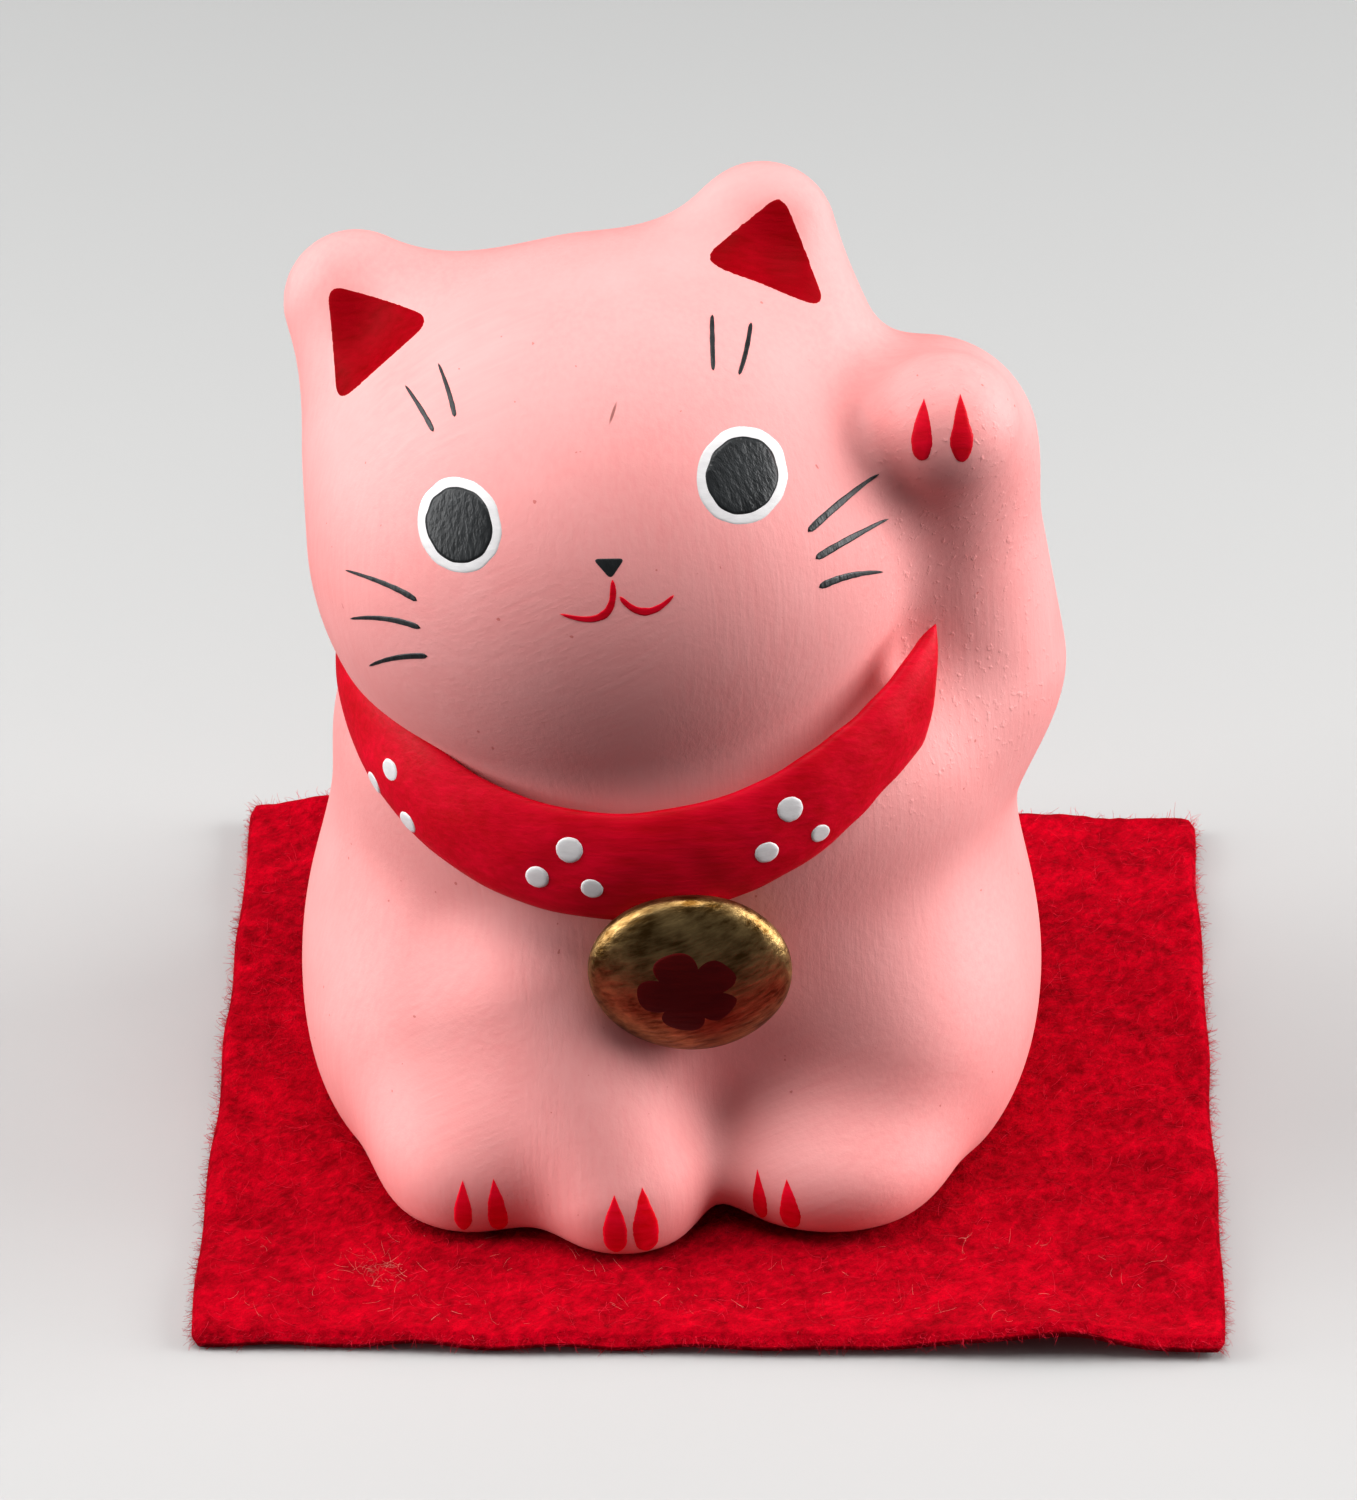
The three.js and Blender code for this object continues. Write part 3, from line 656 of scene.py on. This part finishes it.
def make_felt(material, count=211):
    """A closed sheet with rounded edges and an uneven pile."""
    line = np.linspace(-1, 1, count)
    square = np.stack(np.meshgrid(line, line, indexing="ij"), -1).reshape(-1, 2)
    places = felt_outline(square)
    lift = felt_lift(places)
    fold = np.maximum(np.abs(square[:, 0]), np.abs(square[:, 1]))
    inset = (1 - fold) * FELT_SIDE / 2
    rounding = np.sqrt(np.clip(1 - (1 - np.clip(inset / FELT_ROUNDING, 0, 1)) ** 2, 0, 1))
    pile = FELT_PILE * ripple(places, 1.6, seed=24, waves=24)
    pile = pile + FELT_PILE * ripple(places, 3.1, seed=25, waves=16)
    top = lift + FELT_THICKNESS * (0.5 + 0.5 * rounding) + (FELT_NAP + pile) * rounding
    bottom = lift + FELT_THICKNESS * 0.5 * (1 - rounding)
    quads, rim = grid_faces(count, count)
    total = count * count
    following = np.roll(rim, -1)
    wall = np.stack([rim, rim + total, following + total, following], 1)
    vertices = np.concatenate([np.column_stack([places, top]), np.column_stack([places, bottom])])
    upwards = np.tile([0, 0, 1], (total * 2, 1))
    faces = oriented(vertices, [quads, quads[:, ::-1] + total, wall], upwards)
    mat = add_piece("felt_sheet", vertices, faces, origin=np.zeros(3))
    dress(mat, "felt_mat", "mat", material)
    return mat


def make_fibres(name, roots, ways, lengths, radii, curl, seed, material, steps=6):
    """Wool fibres: thin three-sided tubes that wander away from their roots."""
    rng = np.random.default_rng(seed)
    count = len(roots)
    bend = rng.normal(size=(count, 3)) * curl
    points = [roots]
    heading = ways / np.linalg.norm(ways, axis=1, keepdims=True)
    for _ in range(steps - 1):
        points.append(points[-1] + heading * (lengths / (steps - 1))[:, None])
        heading = heading + bend * 0.5
        heading /= np.linalg.norm(heading, axis=1, keepdims=True)
        bend = bend + rng.normal(size=(count, 3)) * curl * 0.4
    line = np.stack(points, 1)
    line[..., 2] = np.maximum(line[..., 2], FIBRE_CLEARANCE)
    tangent = np.gradient(line, axis=1)
    tangent /= np.linalg.norm(tangent, axis=2, keepdims=True)
    side = np.cross(tangent, ASKEW)
    side /= np.maximum(np.linalg.norm(side, axis=2, keepdims=True), 1e-6)
    up = np.cross(side, tangent)
    taper = np.linspace(1, 0.45, steps)[None, :, None] * radii[:, None, None]
    angles = np.arange(3) * 2 * math.pi / 3
    rings = np.stack([line + taper * (side * math.cos(a) + up * math.sin(a)) for a in angles], 2)
    number = np.arange(count * steps * 3).reshape(count, steps, 3)
    turned_on = np.roll(number, -1, axis=2)
    corners = [number[:, :-1], turned_on[:, :-1], turned_on[:, 1:], number[:, 1:]]
    quads = np.stack([corner.ravel() for corner in corners], 1)
    caps = np.concatenate([number[:, 0, ::-1].reshape(-1, 3), number[:, -1].reshape(-1, 3)])
    piece = add_piece(name, rings.reshape(-1, 3), [quads, caps], origin=np.zeros(3))
    piece.data.materials.append(material)
    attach(piece, "mat")
    return piece


def lay_fibres(name, places, lengths, radii, seed, material):
    """Fibres that lie about on top of the felt."""
    rng = np.random.default_rng(seed)
    count = len(places)
    height = felt_lift(places) + FELT_THICKNESS + rng.uniform(0.02, 0.16, count)
    ways = np.column_stack([rng.normal(size=(count, 2)), rng.uniform(-0.1, 0.25, count)])
    roots = np.column_stack([places, height])
    sizes = rng.uniform(*lengths, count), rng.uniform(*radii, count)
    return make_fibres(name, roots, ways, *sizes, 0.45, seed, material)


# ---------------------------------------------------------------- materials


class Finish:
    """A procedural material: a principled shader and the nodes that feed it."""

    def __init__(self, name):
        self.material = bpy.data.materials.new(name)
        self.material.use_nodes = True
        self.tree = self.material.node_tree
        self.shader = self.tree.nodes["Principled BSDF"]
        self.place = self.tree.nodes.new("ShaderNodeTexCoord").outputs["Object"]

    def node(self, kind, settings=(), **inputs):
        made = self.tree.nodes.new(f"ShaderNode{kind}")
        for key, value in dict(settings).items():
            setattr(made, key, value)
        for key, value in inputs.items():
            socket = made.inputs[key.replace("_", " ")]
            if isinstance(value, bpy.types.NodeSocket):
                self.tree.links.new(value, socket)
            else:
                socket.default_value = value
        return made

    def stretched(self, scale, turn=(0, 0, 0)):
        """Object coordinates turned by degrees and then scaled, for noise that runs one way."""
        turned_place = self.node(
            "Mapping", Vector=self.place, Rotation=tuple(math.radians(a) for a in turn)
        )
        return self.node("Mapping", Vector=turned_place.outputs[0], Scale=scale).outputs[0]

    def noise(self, scale, detail=3.0, roughness=0.5, place=None):
        made = self.node(
            "TexNoise", Vector=place or self.place, Scale=scale, Detail=detail, Roughness=roughness
        )
        return made.outputs["Fac"]

    def spread(self, value, low, high, start=0.0, end=1.0):
        """value, moved from low..high to start..end and kept inside that."""
        made = self.node("MapRange")
        self.tree.links.new(value, made.inputs["Value"])
        for key, number in (("From Min", low), ("From Max", high), ("To Min", start), ("To Max", end)):
            made.inputs[key].default_value = number
        return made.outputs["Result"]

    def across(self, axis):
        """One coordinate of the place."""
        return self.node("SeparateXYZ", Vector=self.place).outputs[axis]

    def blot(self, spot):
        """1 at the middle of a small ellipsoid and 0 at its edge."""
        centre, radii, turn = spot
        moved = self.node("VectorMath", {"operation": "SUBTRACT"})
        self.tree.links.new(self.place, moved.inputs[0])
        moved.inputs[1].default_value = tuple(value / 1000 for value in centre)
        shaped = self.node("Mapping", Vector=moved.outputs[0], Rotation=(0, math.radians(turn), 0))
        scaled = self.node(
            "Mapping", Vector=shaped.outputs[0], Scale=tuple(1000 / radius for radius in radii)
        )
        ball = self.node("TexGradient", {"gradient_type": "SPHERICAL"}, Vector=scaled.outputs[0])
        return ball.outputs["Fac"]

    def combine(self, operation, a, b):
        made = self.node("Math", {"operation": operation})
        for socket, value in zip(made.inputs, (a, b)):
            self.tree.links.new(value, socket)
        return made.outputs[0]

    def sum(self, a, b):
        return self.combine("ADD", a, b)

    def product(self, a, b):
        return self.combine("MULTIPLY", a, b)

    def mix(self, factor, first, second):
        """A colour between two, each a tuple or a socket."""
        made = self.node("Mix", {"data_type": "RGBA"})
        self.tree.links.new(factor, made.inputs["Factor"])
        for socket, value in ((made.inputs[6], first), (made.inputs[7], second)):
            if isinstance(value, tuple):
                socket.default_value = (*value, 1)
            else:
                self.tree.links.new(value, socket)
        return made.outputs[2]

    def bump(self, height, distance):
        made = self.node("Bump", Height=height, Distance=distance)
        self.tree.links.new(made.outputs[0], self.shader.inputs["Normal"])

    def set(self, **values):
        for key, value in values.items():
            socket = self.shader.inputs[key.replace("_", " ")]
            if isinstance(value, bpy.types.NodeSocket):
                self.tree.links.new(value, socket)
            elif isinstance(value, tuple):
                socket.default_value = (*value, 1)
            else:
                socket.default_value = value


def pink_paint():
    """Matt paint brushed on by hand: fine streaks, soft mottling, a few specks and a scratch."""
    finish = Finish("pink_paint")
    upright = finish.noise(1.0, 3.0, 0.6, finish.stretched((2600, 2600, 130), (8, 4, 0)))
    slanting = finish.noise(1.0, 3.0, 0.6, finish.stretched((150, 2200, 2400), (0, 28, 0)))
    region = finish.spread(finish.noise(45, 1.0), 0.47, 0.55)
    streaks = finish.node("Mix", Factor=region, A=upright, B=slanting).outputs[0]
    grain = finish.noise(1900, 4.0, 0.65)
    mottle = finish.spread(finish.noise(120, 3.0), 0.3, 0.7)
    colour = finish.mix(mottle, (0.85, 0.35, 0.34), (0.87, 0.395, 0.385))
    colour = finish.mix(finish.spread(streaks, 0.35, 0.65, 0, 0.22), colour, (0.90, 0.47, 0.455))
    specks = finish.spread(finish.noise(1500, 1.0, 0.4), 0.79, 0.81, 0, 0.7)
    colour = finish.mix(specks, colour, (0.62, 0.16, 0.14))
    worn = finish.spread(finish.blot(SCRATCH), 0.1, 0.5, 0, 0.75)
    colour = finish.mix(worn, colour, (0.2, 0.06, 0.045))
    beside = finish.spread(finish.across("X"), *GRIT_TO_THE_RIGHT)
    above = finish.spread(finish.across("Z"), *GRIT_UPWARDS)
    arm = finish.product(beside, above)
    grit = finish.spread(finish.noise(1900, 2.0, 0.5), 0.6, 0.75, 0, 0.6)
    fine = finish.sum(finish.spread(streaks, 0, 1, 0, 0.55), finish.spread(grain, 0, 1, 0, 0.7))
    finish.bump(finish.sum(fine, finish.product(arm, grit)), 0.00004)
    finish.set(
        Base_Color=colour,
        Roughness=finish.spread(mottle, 0, 1, 0.52, 0.62),
        Specular_IOR_Level=0.3,
    )
    return finish.material


def brushed_paint(
    name, deep, bright, roughness, shine=0.45, relief=0.00004, along=(300, 2200, 2200), lean=0
):
    """Satin paint whose brush strokes show as darker and brighter streaks."""
    finish = Finish(name)
    streaks = finish.noise(1.0, 3.0, 0.6, finish.stretched(along, (0, lean, 0)))
    cloud = finish.noise(260, 2.0)
    blend = finish.spread(finish.sum(streaks, cloud), 0.7, 1.3)
    finish.bump(streaks, relief)
    finish.set(
        Base_Color=finish.mix(blend, deep, bright),
        Roughness=finish.spread(cloud, 0.3, 0.7, roughness - 0.06, roughness + 0.06),
        Specular_IOR_Level=shine,
    )
    return finish.material


def gold_paint():
    """Metallic paint: its brush streaks and clouds mix a dark bronze with a brighter gold, the bronze
    where the streaks sink. Both colours are kept dark: painted dark reflection on the medallion's face.
    """
    finish = Finish("gold_paint")
    strokes = finish.noise(1.0, 4.0, 0.6, finish.stretched((500, 2600, 2400), (0, 24, 0)))
    cloud = finish.noise(420, 3.0)
    blend = finish.spread(finish.sum(strokes, cloud), 0.75, 1.3)
    finish.bump(strokes, 0.00006)
    finish.set(
        # The dark bronze and the brighter gold are both kept dark: painted dark reflection.
        Base_Color=finish.mix(blend, (0.13, 0.065, 0.014), (0.50, 0.345, 0.155)),
        Metallic=0.95,
        Roughness=finish.spread(cloud, 0.3, 0.7, 0.33, 0.44),
    )
    return finish.material


def red_felt():
    """Matted wool: clumps of darker and brighter fibre under a short soft pile."""
    finish = Finish("red_felt")
    clumps = finish.noise(420, 5.0, 0.65)
    strands = finish.noise(1.0, 5.0, 0.7, finish.stretched((1900, 1100, 1500), (0, 0, 35)))
    blend = finish.spread(finish.sum(clumps, strands), 0.75, 1.3)
    colour = finish.mix(blend, (0.26, 0.0, 0.006), (0.66, 0.0, 0.02))
    finish.bump(finish.sum(strands, finish.spread(clumps, 0, 1, 0, 0.6)), 0.0004)
    finish.set(
        Base_Color=colour,
        Roughness=finish.spread(strands, 0.2, 0.8, 0.88, 1.0),
        Specular_IOR_Level=0.02,
        Sheen_Weight=0.05,
        Sheen_Roughness=0.5,
        Sheen_Tint=(1.0, 0.15, 0.2),
    )
    return finish.material


def wool(name, deep, bright):
    """Single fibres, whose colour drifts from place to place."""
    finish = Finish(name)
    drift = finish.spread(finish.noise(500, 2.0), 0.35, 0.65)
    finish.set(
        Base_Color=finish.mix(drift, deep, bright),
        Roughness=0.8,
        Specular_IOR_Level=0.2,
    )
    return finish.material


def floor_paper():
    """Pale paper with a faint cloudiness."""
    finish = Finish("floor_paper")
    cloud = finish.noise(6, 3.0)
    finish.set(
        Base_Color=finish.mix(cloud, (0.47, 0.47, 0.465), (0.5, 0.5, 0.495)),
        Roughness=0.8,
    )
    return finish.material


# ---------------------------------------------------------------- the figurine

PINK = pink_paint()
RED = brushed_paint("red_paint", (0.53, 0.0, 0.008), (0.76, 0.0, 0.03), 0.5, 0.15)
# The inner ears' red is a darker copy of the red paint: painted shade on the inner ears.
EAR_RED_PAINTED_SHADE = brushed_paint("ear_red_painted_shade", (0.24, 0.0, 0.002), (0.35, 0.0, 0.008), 0.5, 0.03)
# The feet's claws get a brighter copy of the red paint: painted light on them. The raised paw's claws
# keep the plain red.
CLAW_RED_PAINTED_LIGHT = brushed_paint("claw_red_painted_light", (0.75, 0.0, 0.01), (0.95, 0.004, 0.05), 0.5, 0.15)
WHITE = brushed_paint("white_paint", (0.72, 0.70, 0.70), (0.84, 0.82, 0.82), 0.45, relief=0.00003)
BLACK = brushed_paint(
    "black_paint",
    (0.012, 0.013, 0.014),
    (0.035, 0.038, 0.04),
    0.38,
    relief=0.0001,
    along=(2600, 2600, 420),
    lean=12,
)
GOLD = gold_paint()
# The blossom's red is a much darker copy of the red paint: painted shade on the medallion's motif.
MOTIF_PAINTED_SHADE = brushed_paint("motif_painted_shade", (0.09, 0.0, 0.001), (0.15, 0.002, 0.002), 0.5, 0.2)
FELT = red_felt()
EDGE_WOOL = wool("edge_wool", (0.45, 0.0, 0.012), (0.75, 0.02, 0.06))
PALE_WOOL = wool("pale_wool", (0.55, 0.12, 0.1), (0.85, 0.5, 0.4))


def make_body():
    vertices, quads = surface_net(casting, *SKIN_BOX, SKIN_STEP)
    vertices = settle(casting, vertices, quads)
    dress(add_piece("ceramic_casting", vertices, [quads]), "ceramic_body", "figurine", PINK)


def make_face():
    on_head = {"origin": HEAD_CENTRE, "axes": HEAD_AXES}
    for side in ("left", "right"):
        paint_mark(f"inner_ear_{side}", disc(rounded(INNER_EARS[side], 0.17), 14), EAR_RED_PAINTED_SHADE, **on_head)
        white = disc(ellipse(EYES[side], EYE_WHITE, seed=31))
        paint_mark(f"eye_white_{side}", white, WHITE, **on_head)
        pupil = disc(ellipse(EYES[side], PUPIL, seed=32))
        paint_mark(f"pupil_{side}", pupil, BLACK, lift=PAINT, **on_head)
    paint_mark("nose", disc(rounded(NOSE, 0.22)), BLACK, **on_head)
    for name, (points, widths) in STROKES.items():
        paint_mark(name, stroke(points, widths), RED if "mouth" in name else BLACK, **on_head)


def make_claws():
    for name, (foot, tip, width) in CLAWS.items():
        paint_mark(name, claw(foot, tip, width), RED if "raised" in name else CLAW_RED_PAINTED_LIGHT)


def make_collar_and_medallion():
    make_collar(RED)
    for name, spot in DOTS.items():
        make_dot(name, spot, WHITE)
    make_medallion(GOLD)
    paint_mark(
        "medallion_blossom",
        disc(blossom(), 12),
        MOTIF_PAINTED_SHADE,
        field=medallion_dome,
        origin=MEDALLION["centre"],
        axes=MEDALLION_AXES,
    )


def make_fringe(rng, count=FRINGE_FIBRES):
    """Broken fibres that stand out all round the mat's cut edges."""
    side = rng.integers(0, 4, count)
    run = rng.uniform(-1, 1, count)
    edge = np.where(rng.random(count) < 0.75, 0.995, rng.uniform(0.93, 0.995, count))
    square = np.select(
        [side[:, None] == 0, side[:, None] == 1, side[:, None] == 2],
        [np.stack([run, -edge], -1), np.stack([run, edge], -1), np.stack([-edge, run], -1)],
        np.stack([edge, run], -1),
    )
    places = felt_outline(square)
    height = felt_lift(places) + rng.uniform(0.3, 1.15, count)
    outwards = np.column_stack([places / (FELT_SIDE / 2), rng.uniform(-0.2, 0.7, count)])
    ways = outwards + rng.normal(size=(count, 3)) * 0.5
    roots = np.column_stack([places, height])
    sizes = rng.uniform(0.3, 1.1, count), rng.uniform(0.01, 0.022, count)
    return make_fibres("felt_fringe", roots, ways, *sizes, 0.4, 42, EDGE_WOOL)


def make_nap(rng):
    """Loose fibres that lie all over the felt."""
    half = FELT_SIDE / 2 - 1
    places = rng.uniform(-half, half, (NAP_FIBRES, 2))
    return lay_fibres("felt_nap", places, (0.8, 2.2), (0.012, 0.024), 43, EDGE_WOOL)


def make_pale_fibres(rng):
    """A tuft of pale fibres and a few more that are scattered over the front of the felt."""
    tuft = rng.normal(PALE_TUFT, (0.9, 1.1), (TUFT_FIBRES, 2))
    right = rng.uniform(-33, 33, STRAY_FIBRES)
    back = rng.uniform(-34, -22, STRAY_FIBRES)
    places = np.concatenate([tuft, np.column_stack([right, back])])
    return lay_fibres("pale_fibres", places, (0.6, 1.8), (0.008, 0.013), 44, PALE_WOOL)


def make_mat():
    felt = make_felt(FELT)
    rng = np.random.default_rng(41)
    fringe = make_fringe(rng)
    nap = make_nap(rng)
    strays = make_pale_fibres(rng)


make_body()
make_face()
make_claws()
make_collar_and_medallion()
make_mat()

# ---------------------------------------------------------------- floor, light and view


def make_floor(half=3.0):
    """A wide flat sheet of pale paper. It throws no light back on the model."""
    mesh = bpy.data.meshes.new("Floor")
    corners = [(-half, -half, 0), (half, -half, 0), (half, half, 0), (-half, half, 0)]
    mesh.from_pydata(corners, [], [(0, 1, 2, 3)])
    floor = bpy.data.objects.new("Floor", mesh)
    bpy.context.scene.collection.objects.link(floor)
    mesh.materials.append(floor_paper())
    floor.visible_diffuse = False
    floor.visible_glossy = False


def make_light(name, place, size, power, target=(0, 0, 0.03)):
    """A soft box that points at the middle of the cat."""
    light = bpy.data.lights.new(name, "AREA")
    light.shape = "RECTANGLE"
    light.size, light.size_y = size
    light.energy = power
    lamp = bpy.data.objects.new(name, light)
    lamp.location = place
    lamp.rotation_euler = (Vector(target) - Vector(place)).to_track_quat("-Z", "Y").to_euler()
    bpy.context.scene.collection.objects.link(lamp)


def make_camera():
    camera = bpy.data.cameras.new("Camera")
    camera.lens = 209.14
    camera.sensor_width = 36
    camera.clip_start = 0.01
    eye = bpy.data.objects.new("Camera", camera)
    azimuth, elevation, distance = math.radians(1.0672), math.radians(30.0939), 0.60463
    target = Vector((-0.0026076, 0, 0.026969))
    level = math.cos(elevation)
    back = Vector((math.sin(azimuth) * level, -math.cos(azimuth) * level, math.sin(elevation)))
    eye.location = target + back * distance
    eye.rotation_euler = back.to_track_quat("Z", "Y").to_euler()
    bpy.context.scene.collection.objects.link(eye)
    bpy.context.scene.camera = eye


def make_studio():
    world = bpy.data.worlds.new("World")
    world.use_nodes = True
    background = world.node_tree.nodes["Background"]
    background.inputs["Color"].default_value = (0.9, 0.92, 0.95, 1)
    background.inputs["Strength"].default_value = 0.17
    bpy.context.scene.world = world
    bpy.context.scene.view_settings.view_transform = "Standard"
    bpy.context.scene.view_settings.gamma = 0.85
    make_light("Low_left", (-0.42, -0.05, 0.13), (0.3, 0.4), 2.1)
    make_light("High_left", (-0.42, 0.04, 0.42), (0.3, 0.4), 1.2)
    make_light("Low_right", (0.42, 0.02, 0.13), (0.3, 0.4), 3.2)
    make_light("Top", (0, -0.08, 0.6), (0.35, 0.35), 2.5)


make_floor()
make_studio()
make_camera()
